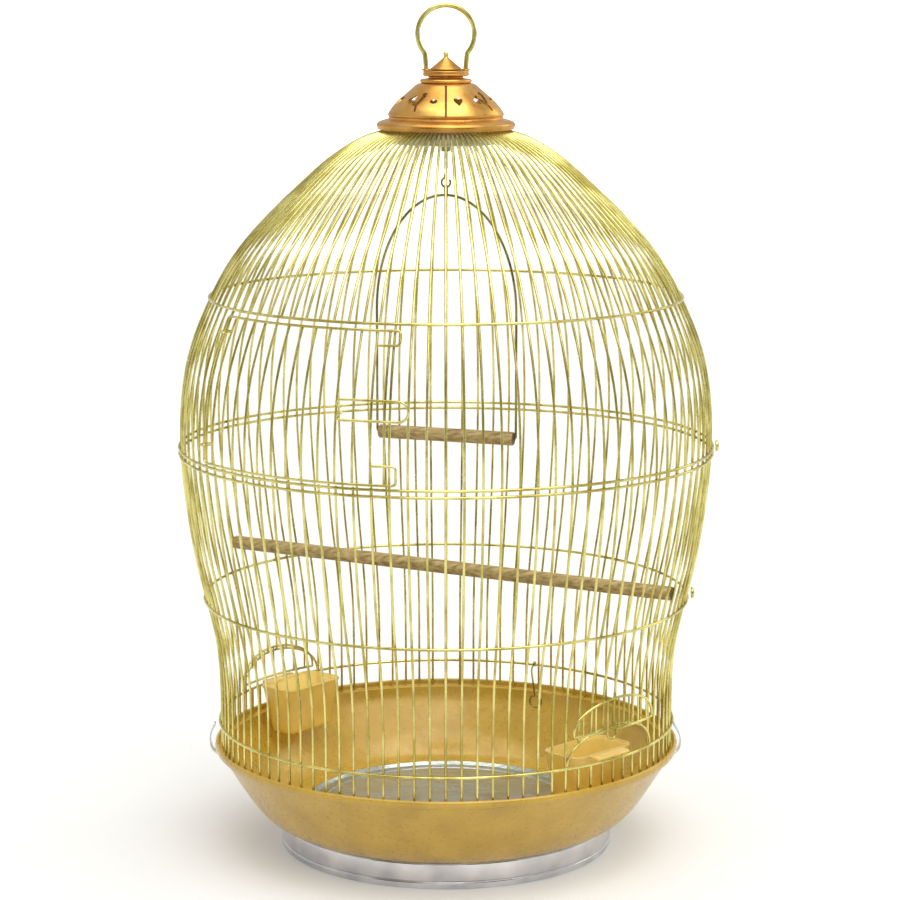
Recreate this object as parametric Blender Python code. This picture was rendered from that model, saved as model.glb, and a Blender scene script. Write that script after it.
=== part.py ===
"""Round dome bird cage of brass-coloured wire on a low plastic tray with a foot ring.

Lengths are in millimetres and angles in degrees; MM turns them into Blender's metres.
+Z is up, the front is -Y, and the origin is the centre of the foot on the floor.
"""

import math

import bmesh
import bpy
from mathutils import Matrix, Vector

MM = 0.001

# --- Driving dimensions -------------------------------------------------------------------------

GAP = 0.3  # clearance between pieces that rest on each other

# The shell of wires: every wire follows these bends, given as (height, radius).
SHELL_BENDS = (
    (76.0, 166.4),
    (150.0, 168.5),
    (225.0, 184.8),
    (298.0, 193.2),
    (358.0, 188.8),
    (408.0, 170.8),
    (450.0, 144.5),
    (500.0, 94.5),
    (521.0, 65.0),
    (529.4, 42.0),
)
WIRE_COUNT = 96
WIRE_PITCH = 360.0 / WIRE_COUNT
WIRE_R = 0.9
WIRES_PER_PANEL = 12
FIRST_WIRE = 4  # the panels start here, so that one panel is just the width of the main door

# The three rows of panels, each (lowest, highest) height.
SKIRT_ROW = (76.0, 296.4)
WAIST_ROW = (300.6, 407.6)
DOME_ROW = (411.4, 529.4)

HOOP_R = 1.0
HOOP_OUTSET = WIRE_R + HOOP_R + GAP  # the hoops run around the outside of the wires
HOOP_SIDES = 32
HOOP_HEIGHTS = {
    "hoop_shoulder": 409.5,
    "hoop_middle_upper": 300.6,
    "hoop_middle_lower": 296.0,
    "hoop_waist": 188.0,
    "hoop_base": 95.0,
}
HOOP_CLIP_HEIGHTS = {"hoop_clip_middle": 298.4, "hoop_clip_waist": 188.0}
HOOP_CLIP_R = 4.2

THIN_WIRE_R = 0.7  # the small hooks, rings and links

# Main door, in the waist row, with places along it given in wire pitches.
DOOR_STANDOFF = 3.4
DOOR_RIGHT = 3.25
DOOR_LEFT = 15.75
DOOR_BOTTOM = 304.0
DOOR_TOP = 405.5
DOOR_BEND = 358.0  # the shell's bend that the stiles follow
DOOR_HOOK_REACH = 0.65
DOOR_HOOK_HEIGHT = 10.0
DOOR_HINGE_WIRE = 16
DOOR_HINGE_HEIGHTS = {"door_hinge_ring_lower": 316.0, "door_hinge_ring_upper": 394.0}
DOOR_HINGE_RING_R = 2.1
LATCH_TURN = -14.5
LATCH_LENGTH = 50.0
LATCH_HEIGHT = 14.0
LATCH_CENTRE = 354.0

# Feeder openings, doors and cups. Each entry is the first of the seven wires that the opening cuts.
FEEDERS = {"left": 31, "right": 81}
FEEDER_WIRES = 7
FEEDER_BOTTOM = 97.0
FEEDER_RISE = 22.6
FEEDER_HALF = 4.0  # half the opening's width, in wire pitches
FEEDER_SILL = 2.0  # the door's sill and arch start this far above the opening's bottom
FEEDER_ARCH_START = 3.0
FEEDER_DOOR_LEAN = 0.08  # the doors slide outwards by this much as they rise, to clear the wires
FEEDER_DOOR_LIFTS = {"left": 0.0, "right": 19.0}  # the right door rests raised
CUP_WIDTH = 60.0
CUP_DEPTH = 34.0
CUP_TOP = 99.0
CUP_BOTTOM = 62.0
CUP_BACK = 159.3
CUP_WALL = 1.6
CUP_TAPER = 4.0  # at the front and the sides, towards the bottom
CUP_BACK_TAPER = 7.0
CUP_FLANGE = (34.0, 8.5)  # width, and reach beyond the cup's back

PERCH_WIRES = (31, 79)
PERCH_R = 5.0
PERCH_ENDS = (210.0, 205.0)  # heights of its left and right ends
NOTCH_DEPTH = 2.6
NOTCH_CLEAR = 9.0  # how far the notch's cutter runs past the perch

SWING_TURN = -20.0
SWING_HALF = 54.0
SWING_BAR_Z = 306.5
SWING_SPRING_Z = 398.0
SWING_APEX_Z = 482.2
EYE_Z = 491.0
EYE_R = 3.4
STEM_R = 0.8

# The small eye at the back, with places round the cage in wire pitches.
BACK_HOOK = 54.6
BACK_EYE = 55.3
BACK_EYE_Z = 69.0
BACK_EYE_SETBACK = 14.0  # how far inside its hoop it hangs

PLATE_R = 38.4
PLATE_TOP = 528.4
PLATE_LOW = 519.3
PLATE_THICK = 1.4
CROWN_BOTTOM = 529.9
CROWN_TOP = 562.3
CROWN_CUT_Z = 550.8
CROWN_PANELS = 4  # each panel repeats these cut-outs: angle, half width, half height
CROWN_CUTS = ((-37.0, 5.0, 5.6), (-15.0, 2.4, 1.6), (15.2, 3.2, 3.4), (42.0, 2.4, 1.9))
HANGER_Z = 567.5
COLLAR_THICK = 4.0
RING_Z = 597.6
RING_R = 20.4
RING_WIRE_R = 1.8

TRAY_BASE = 20.3
TRAY_FLOOR = 25.5
TRAY_LEDGE = 74.8
PAN_THICK = 1.2
PAN_EDGE = 3.6
FOOT_WALL = 2.2
RIM_CLIP_PIVOT = (169.6, 65.8)  # radius, height
RIM_CLIP_WIDTH = 10.0
RIM_CLIP_SWING = 7.0  # the left clip rests swung out by this much


# --- Helpers ------------------------------------------------------------------------------------

def clear_scene():
    for obj in list(bpy.data.objects):
        bpy.data.objects.remove(obj, do_unlink=True)


def make_material(name, color, metallic, roughness):
    material = bpy.data.materials.new(name)
    material.use_nodes = True
    shader = material.node_tree.nodes["Principled BSDF"]
    shader.inputs["Base Color"].default_value = (*color, 1.0)
    shader.inputs["Metallic"].default_value = metallic
    shader.inputs["Roughness"].default_value = roughness
    return material


def shell_radius(height):
    """Radius of the wires' centre lines at a height."""
    for (low, low_r), (high, high_r) in zip(SHELL_BENDS, SHELL_BENDS[1:]):
        if height <= high:
            return low_r + (high_r - low_r) * (height - low) / (high - low)
    return SHELL_BENDS[-1][1]


def around(turn, radius, height):
    """A point at an angle from the front, positive towards +X."""
    angle = math.radians(turn)
    return Vector((radius * math.sin(angle), -radius * math.cos(angle), height))


def wire_turn(place):
    """Angle of a wire's place: the wires are counted from the front centre towards -X."""
    return -place * WIRE_PITCH


def on_shell(place, height, standoff=0.0):
    return around(wire_turn(place), shell_radius(height) + standoff, height)


def arc(centre, radius, start, end, steps):
    """(x, z) points along an arc about (x, z) centre, by angle from +X towards +Z."""
    turns = [math.radians(start + (end - start) * i / steps) for i in range(steps + 1)]
    return [(centre[0] + radius * math.cos(t), centre[1] + radius * math.sin(t)) for t in turns]


def add_object(name, data, material, origin=Vector((0, 0, 0))):
    obj = bpy.data.objects.new(name, data)
    obj.location = origin * MM
    data.materials.append(material)
    bpy.context.scene.collection.objects.link(obj)
    return obj


def wire(name, points, radius, material, closed=False, sides=4, origin=Vector((0, 0, 0))):
    """A round wire along the points. Its object sits at origin, which is on its joint's axis if it moves."""
    curve = bpy.data.curves.new(name, "CURVE")
    curve.dimensions = "3D"
    curve.bevel_depth = radius * MM
    curve.bevel_resolution = sides // 2 - 2
    curve.use_fill_caps = not closed
    spline = curve.splines.new("POLY")
    spline.points.add(len(points) - 1)
    for place, point in zip(spline.points, points):
        place.co = (*((Vector(point) - origin) * MM), 1.0)
    spline.use_cyclic_u = closed
    return add_object(name, curve, material, origin)


def finish_mesh(name, bm, material, origin):
    bmesh.ops.recalc_face_normals(bm, faces=bm.faces[:])
    mesh = bpy.data.meshes.new(name)
    bm.to_mesh(mesh)
    bm.free()
    mesh.shade_smooth()
    mesh.set_sharp_from_angle(angle=math.radians(35))
    return add_object(name, mesh, material, origin)


def loft(name, rings, material, origin=Vector((0, 0, 0)), close_ends=True):
    """Skins closed rings of points one after another; a ring of one point is a pole."""
    bm = bmesh.new()
    rows = [[bm.verts.new((Vector(p) - origin) * MM) for p in ring] for ring in rings]
    pairs = list(zip(rows, rows[1:])) if close_ends else list(zip(rows, rows[1:] + rows[:1]))
    for lower, upper in pairs:
        count = max(len(lower), len(upper))
        for i in range(count):
            corners = [
                lower[i % len(lower)],
                lower[(i + 1) % len(lower)],
                upper[(i + 1) % len(upper)],
                upper[i % len(upper)],
            ]
            bm.faces.new(list(dict.fromkeys(corners)))
    if close_ends:
        for row in (rows[0], rows[-1]):
            if len(row) > 2:
                bm.faces.new(row)
    return finish_mesh(name, bm, material, origin)


def revolve(name, profile, material, steps=36, origin=Vector((0, 0, 0)), ring=False):
    """Turns (radius, height) points about the cage's axis. A ring's profile is a closed loop."""
    rings = []
    for radius, height in profile:
        count = steps if radius else 1
        rings.append([around(360.0 * i / count, radius, height) for i in range(count)])
    return loft(name, rings, material, origin, close_ends=not ring)


def cutter(name, corners_low, corners_high):
    """A hidden prism between two outlines, for a Boolean."""
    tool = loft(name, [corners_low, corners_high], bpy.data.materials["cutter"])
    tool.hide_render = True
    tool.display_type = "WIRE"
    return tool


def cut(obj, tool, operation="DIFFERENCE"):
    modifier = obj.modifiers.new(tool.name, "BOOLEAN")
    modifier.operation = operation
    modifier.object = tool


# --- Shell --------------------------------------------------------------------------------------

def row_heights(low, high):
    """The ends of a row and the shell's bends between them."""
    bends = [height for height, _ in SHELL_BENDS if low + 4 < height < high - 4]
    return [low, *bends, high]


def feeder_centre(first):
    return first + (FEEDER_WIRES - 1) / 2


def feeder_edge(place, first):
    """Height of the arched opening's edge at a place."""
    offset = (place - feeder_centre(first)) / FEEDER_HALF
    return FEEDER_BOTTOM + FEEDER_RISE * math.sqrt(1 - offset**2)


def wire_foot(index, lowest):
    """Lowest height of a wire: those above a feeder opening end on its arch."""
    for first in FEEDERS.values():
        if lowest == SKIRT_ROW[0] and first <= index < first + FEEDER_WIRES:
            return feeder_edge(index, first)
    return lowest


def panel_points(indices, low, high, standoff=0.0, foot=wire_foot):
    """One run of wire, bent up and down over the given wires' places."""
    points = []
    for count, index in enumerate(indices):
        heights = row_heights(foot(index, low), high)
        if count % 2:
            heights.reverse()
        points += [on_shell(index, height, standoff) for height in heights]
    return points


def make_panels(material):
    for row, (low, high) in (("skirt", SKIRT_ROW), ("waist", WAIST_ROW), ("dome", DOME_ROW)):
        for sector in range(WIRE_COUNT // WIRES_PER_PANEL):
            if row == "waist" and sector == 0:
                continue  # the main door fills this place
            first = FIRST_WIRE + sector * WIRES_PER_PANEL
            points = panel_points(range(first, first + WIRES_PER_PANEL), low, high)
            wire(f"{row}_wires_{sector + 1}", points, WIRE_R, material)


def hoop_radius(height):
    """Radius of a hoop's corners, so that its straight sides still clear the wires."""
    return (shell_radius(height) + HOOP_OUTSET) / math.cos(math.pi / HOOP_SIDES)


def make_hoops(material):
    for name, height in HOOP_HEIGHTS.items():
        radius = hoop_radius(height)
        points = [around(360.0 * i / HOOP_SIDES, radius, height) for i in range(HOOP_SIDES)]
        wire(name, points, HOOP_R, material, closed=True)


def make_hoop_clips(material):
    """Rounded clips over the hoops' meeting ends, on the right."""
    for name, height in HOOP_CLIP_HEIGHTS.items():
        inner = hoop_radius(height) + HOOP_R + GAP
        rings = []
        for reach, scale in ((0.0, 0.75), (0.8, 1.0), (1.8, 0.9), (2.6, 0.5)):
            outline = arc((0, height), HOOP_CLIP_R * scale, 0, 360, 12)[:-1]
            rings.append([(inner + reach, y, z) for y, z in outline])
        loft(name, rings, material)


# --- Main door ----------------------------------------------------------------------------------

def door_hook(start, end):
    """The rail's end, carried past the right stile and bent back in a round U between two heights."""
    far = DOOR_RIGHT - DOOR_HOOK_REACH
    side = DOOR_RIGHT - DOOR_HOOK_REACH / 2
    quarter = (end - start) / 4
    corners = ((side, start), (far, start + quarter), (far, end - quarter), (side, end))
    return [on_shell(place, height, DOOR_STANDOFF) for place, height in corners]


def make_door_frame(material, hinge):
    """One closed loop of wire: left stile, top rail, hook, right stile, hook, bottom rail."""
    rail = [DOOR_LEFT] + [float(i) for i in range(15, 3, -1)]
    top_hook_end = DOOR_TOP - DOOR_HOOK_HEIGHT
    low_hook_end = DOOR_BOTTOM + DOOR_HOOK_HEIGHT
    points = [on_shell(place, DOOR_TOP, DOOR_STANDOFF) for place in rail]
    points += door_hook(DOOR_TOP, top_hook_end)
    for height in (top_hook_end, DOOR_BEND, low_hook_end):
        points.append(on_shell(DOOR_RIGHT, height, DOOR_STANDOFF))
    points += door_hook(low_hook_end, DOOR_BOTTOM)
    points += [on_shell(place, DOOR_BOTTOM, DOOR_STANDOFF) for place in reversed(rail)]
    points.append(on_shell(DOOR_LEFT, DOOR_BEND, DOOR_STANDOFF))
    wire("door_frame", points, WIRE_R, material, closed=True, origin=hinge)


def make_door_wires(material, hinge):
    """The door's own wires, one run bent up and down inside the frame."""
    low = DOOR_BOTTOM + 2 * WIRE_R + GAP
    high = DOOR_TOP - 2 * WIRE_R - GAP
    indices = range(FIRST_WIRE, FIRST_WIRE + WIRES_PER_PANEL)
    points = panel_points(indices, low, high, DOOR_STANDOFF)
    wire("door_wires", points, WIRE_R, material, origin=hinge)


def hinge_point(height):
    return on_shell(DOOR_HINGE_WIRE, height)


def make_door_hinges(material, hinge):
    """Two oval rings that hold the door's stile to the neighbouring shell wire."""
    low, high = [hinge_point(height) for height in DOOR_HINGE_HEIGHTS.values()]
    upright = (high - low).normalized()
    for name, height in DOOR_HINGE_HEIGHTS.items():
        post = hinge_point(height)
        stile = on_shell(DOOR_LEFT, height, DOOR_STANDOFF)
        across = stile - post
        across -= upright * across.dot(upright)
        reach = across.length
        across.normalize()
        sideways = upright.cross(across)
        outline = arc((0, 0), DOOR_HINGE_RING_R, 90, 270, 6)
        outline += arc((reach, 0), DOOR_HINGE_RING_R, -90, 90, 6)
        points = [post + across * u + sideways * v for u, v in outline]
        wire(name, points, THIN_WIRE_R, material, closed=True, origin=hinge)


def make_door_latch(material):
    """A flat U of wire that slides sideways across the door's right stile."""
    normal = around(LATCH_TURN, 1.0, 0.0)
    side = around(LATCH_TURN + 90, 1.0, 0.0)
    reach = shell_radius(LATCH_CENTRE - LATCH_HEIGHT / 2) + DOOR_STANDOFF + 2 * WIRE_R + 2 * GAP
    half = LATCH_HEIGHT / 2
    open_end = -LATCH_LENGTH / 2
    outline = [(open_end, LATCH_CENTRE + half)]
    outline += arc((LATCH_LENGTH / 2 - half, LATCH_CENTRE), half, 90, -90, 6)
    outline += [(open_end, LATCH_CENTRE - half)]
    points = [normal * reach + side * u + Vector((0, 0, z)) for u, z in outline]
    wire("door_latch", points, WIRE_R, material)


# --- Feeders ------------------------------------------------------------------------------------

def make_feeder_door(side, first, material):
    """One run of wire: the sill, the arched frame, and the upright bars inside it."""
    middle = feeder_centre(first)
    slide = around(wire_turn(middle), FEEDER_DOOR_LEAN, 1.0).normalized()
    raised = slide * FEEDER_DOOR_LIFTS[side]
    reach = FEEDER_HALF - 0.3
    sill = FEEDER_BOTTOM + FEEDER_SILL
    bar_end = 2 * WIRE_R + GAP

    def arch_height(place):
        rise = math.sqrt(max(0, 1 - ((place - middle) / reach) ** 2))
        return sill + FEEDER_ARCH_START + (FEEDER_RISE - FEEDER_ARCH_START) * rise

    outline = [(middle - reach, sill), (middle, sill), (middle + reach, sill)]
    for i in range(13):
        place = middle + reach * math.cos(math.pi * i / 12)
        outline.append((place, arch_height(place)))
    outline.append((middle - reach, sill + bar_end))
    for count in range(FEEDER_WIRES):
        place = first + count
        bar = [(place, sill + bar_end), (place, arch_height(place) - 2 * bar_end)]
        outline += bar if count % 2 == 0 else reversed(bar)
    points = [on_shell(place, height, DOOR_STANDOFF) + raised for place, height in outline]
    wire(f"feeder_door_{side}", points, WIRE_R, material)


def make_feeder_stubs(side, first, material):
    """The short lower ends of the wires that the opening cuts."""
    low, high = SKIRT_ROW[0], HOOP_HEIGHTS["hoop_base"]
    points = []
    for count in range(FEEDER_WIRES):
        heights = (low, high) if count % 2 == 0 else (high, low)
        points += [on_shell(first + count, height) for height in heights]
    wire(f"feeder_stubs_{side}", points, WIRE_R, material)


def rounded_box(turn, near, far, width, corner, height):
    """A horizontal outline with rounded corners, from radius near to far in the direction turn."""
    outward = around(turn, 1.0, 0.0)
    along = around(turn + 90, 1.0, 0.0)
    half = width / 2 - corner
    corners = ((far - corner, half, 0), (near + corner, half, 90))
    corners += ((near + corner, -half, 180), (far - corner, -half, 270))
    points = []
    for out, side, start in corners:
        for i in range(4):
            angle = math.radians(start + 30 * i)
            out_at = out + corner * math.cos(angle)
            side_at = side + corner * math.sin(angle)
            points.append(outward * out_at + along * side_at + Vector((0, 0, height)))
    return points


def make_feeder_cup(side, first, material):
    """An open cup that hangs on the base hoop by a flange along its outer edge."""
    turn = wire_turn(feeder_centre(first))
    near, far = CUP_BACK - CUP_DEPTH, CUP_BACK
    low_near, low_far = near + CUP_TAPER, far - CUP_BACK_TAPER
    low_width = CUP_WIDTH - 2 * CUP_TAPER
    wall = CUP_WALL
    rings = [
        rounded_box(turn, low_near, low_far, low_width, 7.0, CUP_BOTTOM),
        rounded_box(turn, near, far, CUP_WIDTH, 8.0, CUP_TOP),
        rounded_box(turn, near + wall, far - wall, CUP_WIDTH - 2 * wall, 6.5, CUP_TOP),
        rounded_box(turn, low_near + wall, low_far - wall, low_width - 2 * wall, 5.5, CUP_BOTTOM + wall),
    ]
    cup = loft(f"feeder_cup_{side}", rings, material)
    flange_width, flange_reach = CUP_FLANGE
    flange_low = HOOP_HEIGHTS["hoop_base"] + HOOP_R + 2 * GAP
    flange_high = CUP_TOP - 0.4
    flange = [
        rounded_box(turn, far - 1.0, far + flange_reach, flange_width, 1.5, height)
        for height in (flange_low, flange_high)
    ]
    cut(cup, cutter(f"cup_flange_{side}", *flange), "UNION")


# --- Perch, swing and eye ------------------------------------------------------------------------

def make_perch(material):
    """A straight round perch across the cage, with a notch for a wire at each end."""
    ends = []
    for index, height in zip(PERCH_WIRES, PERCH_ENDS):
        ends.append(around(wire_turn(index), shell_radius(height) - WIRE_R, height))
    left, right = ends
    direction = (right - left).normalized()
    side = direction.cross(Vector((0, 0, 1))).normalized()
    upward = side.cross(direction)
    length = (right - left).length
    rings = []
    for reach, radius in ((0.0, 0.88), (0.8, 1.0), (length / 2, 1.0), (length - 0.8, 1.0), (length, 0.88)):
        outline = arc((0, 0), PERCH_R * radius, 0, 360, 12)[:-1]
        rings.append([left + direction * reach + side * u + upward * v for u, v in outline])
    perch = loft("long_perch", rings, material)
    half_slot = WIRE_R + 3 * GAP
    slot = [(half_slot, NOTCH_DEPTH), (-half_slot, NOTCH_DEPTH)]
    slot += [(-half_slot, -NOTCH_CLEAR), (half_slot, -NOTCH_CLEAR)]
    notches = (("perch_notch_left", left, direction), ("perch_notch_right", right, -direction))
    for name, end, inward in notches:
        slope = (shell_radius(end.z + PERCH_R) - shell_radius(end.z - PERCH_R)) / (2 * PERCH_R)
        rings = []
        for rise in (-NOTCH_CLEAR, NOTCH_CLEAR):
            base = end - inward * slope * rise + Vector((0, 0, rise))
            rings.append([base + side * u + inward * v for u, v in slot])
        cut(perch, cutter(name, *rings))


def turned(point):
    """Turns a point about the upright axis by the angle at which the swing hangs."""
    return Matrix.Rotation(math.radians(SWING_TURN), 3, "Z") @ Vector(point)


def make_swing_hanger(material):
    """A stem from the top plate, bent into an eye that faces the front."""
    stem_top = PLATE_TOP - PLATE_THICK - GAP
    points = [(0, 0, stem_top), (0, 0, EYE_Z + EYE_R + 1.5)]
    points += [(x, 0, z) for x, z in arc((0, EYE_Z), EYE_R, 75, -255 + 30, 10)]
    wire("swing_hanger", [turned(p) for p in points], STEM_R, material)


def make_hanger_nut(material):
    """A hexagonal nut on the stem, under the top plate."""
    low, high = 513.5, PLATE_TOP - PLATE_THICK - GAP
    profile = [(1.4, low), (4.0, low), (4.0, high), (1.4, high)]
    revolve("hanger_nut", profile, material, steps=6, ring=True)


def make_swing_link(material, pivot):
    """An oval chain link between the stem's eye and the swing."""
    top = pivot.z
    bottom = SWING_APEX_Z - 2.0
    half_width = 2.6
    outline = arc((0, top - half_width), half_width, 0, 180, 6)
    outline += arc((0, bottom + half_width), half_width, 180, 360, 6)
    points = [turned((0, y, z)) for y, z in outline]
    wire("swing_link", points, THIN_WIRE_R, material, closed=True, origin=pivot)


def make_swing_wire(material, pivot):
    """The swing's arch, whose ends turn inwards into the bar."""
    tip = SWING_HALF - 6.0
    points = [(-tip, 0, SWING_BAR_Z), (-SWING_HALF, 0, SWING_BAR_Z)]
    rise = SWING_APEX_Z - SWING_SPRING_Z
    for i in range(17):
        angle = math.radians(180 - 180 * i / 16)
        points.append((SWING_HALF * math.cos(angle), 0, SWING_SPRING_Z + rise * math.sin(angle)))
    points += [(SWING_HALF, 0, SWING_BAR_Z), (tip, 0, SWING_BAR_Z)]
    wire("swing_wire", [turned(p) for p in points], WIRE_R, material, origin=pivot)


def make_swing_bar(material, pivot):
    """A turned wooden bar with a blind bore in each end for the wire's tips."""
    end = SWING_HALF - WIRE_R - GAP * 2
    bore, depth = WIRE_R + GAP, 7.0
    half_profile = [(0, end - depth), (bore, end - depth), (bore, end), (4.2, end), (5.0, end - 0.9)]
    profile = [(r, -x) for r, x in half_profile] + [(r, x) for r, x in reversed(half_profile)]
    rings = []
    for radius, x in profile:
        outline = [(0, 0)] if radius == 0 else arc((0, 0), radius, 0, 360, 12)[:-1]
        rings.append([turned((x, y, SWING_BAR_Z + z)) for y, z in outline])
    loft("swing_bar", rings, material, origin=pivot)


def make_back_eye(material):
    """A small wire eye hooked over the base hoop at the back, between two wires."""
    hook_turn, eye_turn = wire_turn(BACK_HOOK), wire_turn(BACK_EYE)
    hoop_z = HOOP_HEIGHTS["hoop_base"]
    hoop = hoop_radius(hoop_z)
    eye_at = hoop - BACK_EYE_SETBACK
    hook = arc((hoop, hoop_z), HOOP_R + GAP + THIN_WIRE_R, -30, 180, 7)
    points = [around(hook_turn, radius, height) for radius, height in hook]
    points.append(around((hook_turn + eye_turn) / 2, eye_at + 1.0, hoop_z - 9))
    side = around(eye_turn + 90, 1.0, 0.0)
    centre = around(eye_turn, eye_at, BACK_EYE_Z)
    points += [centre + side * u + Vector((0, 0, v)) for u, v in arc((0, 0), 5.0, 80, -245, 12)]
    wire("back_eye", points, THIN_WIRE_R, material)


# --- Top ----------------------------------------------------------------------------------------

def make_top_plate(material):
    """An inverted dish under the wires' inner ends."""
    inner = PLATE_R - PLATE_THICK
    profile = [(0, PLATE_TOP), (PLATE_R - 1.2, PLATE_TOP), (PLATE_R, PLATE_TOP - 1.2), (PLATE_R, PLATE_LOW)]
    profile += [(inner, PLATE_LOW), (inner, PLATE_TOP - PLATE_THICK), (0, PLATE_TOP - PLATE_THICK)]
    revolve("top_plate", profile, material, steps=24)


def heart(width, height):
    """A heart's outline, as (sideways, up) points."""
    half = [(0, -height), (width, 0.2 * height), (0.45 * width, height), (0, 0.55 * height)]
    return half + [(-u, v) for u, v in reversed(half[1:-1])]


def make_crown(material):
    """A thin bell with a flared rim and the same row of hearts cut through each of its panels."""
    outside = [(19.5, CROWN_TOP), (21.6, 561.4), (34.2, 549.6), (42.0, 540.2), (42.8, 537.2)]
    outside += [(48.8, 534.6), (50.2, 532.6), (49.8, CROWN_BOTTOM)]
    inside = [(48.4, CROWN_BOTTOM), (48.4, 532.8), (41.2, 536.4), (40.5, 539.8), (33.2, 548.2)]
    inside += [(20.8, 559.8), (19.0, 560.9)]
    profile = [(0, CROWN_TOP), *outside, *inside, (0, 560.9)]
    crown = revolve("crown", profile, material, steps=28)
    for panel in range(CROWN_PANELS):
        for place, (angle, width, height) in enumerate(CROWN_CUTS):
            turn = angle + 360.0 * panel / CROWN_PANELS
            outward, side = around(turn, 1.0, 0.0), around(turn + 90, 1.0, 0.0)
            outline = heart(width, height)
            rings = [
                [outward * reach + side * u + Vector((0, 0, CROWN_CUT_Z + v)) for u, v in outline]
                for reach in (22.0, 48.0)
            ]
            cut(crown, cutter(f"crown_cutter_{panel}_{place}", *rings))


def make_collars(material, pivot):
    """The fixed lower collar with its neck, and the upper collar that turns on it."""
    low = CROWN_TOP + GAP
    neck = HANGER_Z - GAP
    profile = [(0, low), (17.8, low), (18.7, low + 0.9), (18.7, low + 2.0), (17.8, low + 2.9)]
    profile += [(13.0, low + 2.9), (13.0, neck), (0, neck)]
    revolve("collar_lower", profile, material, steps=24)
    high = HANGER_Z + COLLAR_THICK
    profile = [(0, HANGER_Z), (15.8, HANGER_Z), (16.8, HANGER_Z + 1.0), (16.8, high - 1.0)]
    profile += [(16.0, high), (0, high)]
    revolve("collar_upper", profile, material, steps=24, origin=pivot)


def make_finial(material, pivot):
    low = HANGER_Z + COLLAR_THICK + GAP
    profile = [(0, low), (11.0, low), (11.4, low + 0.8), (7.0, low + 4.2), (3.6, low + 7.2), (1.6, low + 9.0)]
    profile += [(2.1, low + 11.0), (1.4, low + 12.8), (0, low + 13.4)]
    revolve("finial", profile, material, steps=16, origin=pivot)


def make_hanging_ring(material, pivot):
    """An omega of thick wire that stands on the upper collar."""
    foot = HANGER_Z + COLLAR_THICK + GAP
    half = [(14.2, foot), (14.6, foot + 4.7)]
    half += arc((0, RING_Z), RING_R, -38, 90, 9)
    points = [(x, 0, z) for x, z in half]
    points += [(-x, 0, z) for x, z in reversed(half[:-1])]
    wire("hanging_ring", points, RING_WIRE_R, material, sides=6, origin=pivot)


# --- Base ---------------------------------------------------------------------------------------

def make_tray(material):
    """The bowl: flared wall, rolled lip, and a ledge that the wires stand on."""
    outside = [(0, TRAY_BASE + 3), (119.0, TRAY_BASE + 3), (121.0, TRAY_BASE), (124.5, TRAY_BASE)]
    outside += [(134.0, 25.2), (144.0, 35.5), (162.6, 64.0), (167.6, 72.0)]
    lip = [(170.6, 73.6), (171.9, 76.6), (170.8, 79.2), (169.6, 79.2)]
    inside = [(168.7, TRAY_LEDGE), (163.4, TRAY_LEDGE), (160.6, 65.0), (142.0, 37.2), (133.0, 28.2)]
    inside += [(128.0, TRAY_FLOOR), (0, TRAY_FLOOR)]
    revolve("tray_bowl", outside + lip + inside, material)


def make_floor_pan(material, origin):
    """A loose disc with a low upturned edge."""
    low = TRAY_FLOOR + GAP
    high = low + PAN_THICK
    profile = [(0, low), (103.0, low), (105.6, low + PAN_EDGE), (104.6, low + PAN_EDGE)]
    profile += [(102.4, high), (0, high)]
    revolve("floor_pan", profile, material, origin=origin)


def make_foot(material):
    """The ring under the tray, an L in section with its flange turned inwards."""
    high = TRAY_BASE - GAP
    under_flange = high - FOOT_WALL
    profile = [(118.6, 0), (121.4, 0), (122.8, 1.4), (123.6, high - 1), (122.6, high), (111.0, high)]
    profile += [(111.0, under_flange), (119.4, under_flange)]
    revolve("foot_ring", profile, material, ring=True)


def make_rim_clip(name, side, swing, material):
    """A springy strip that hinges under the tray's lip, here swung out by an angle."""
    outside = [(170.0, 65.0), (174.0, 69.0), (175.4, 76.0), (173.6, 83.0), (169.8, 89.5)]
    inside = [(168.8, 88.6), (172.2, 82.4), (173.8, 76.0), (172.6, 70.2), (169.2, 66.6)]
    half = RIM_CLIP_WIDTH / 2
    pivot = Vector(RIM_CLIP_PIVOT)
    swung = Matrix.Rotation(math.radians(-swing), 2)
    outline = [pivot + swung @ (Vector(point) - pivot) for point in outside + inside]
    rings = [[(side * p.x, y, p.y) for p in outline] for y in (-half, half)]
    loft(name, rings, material, origin=Vector((side * pivot.x, 0, pivot.y)))


# --- Assembly -----------------------------------------------------------------------------------

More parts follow.
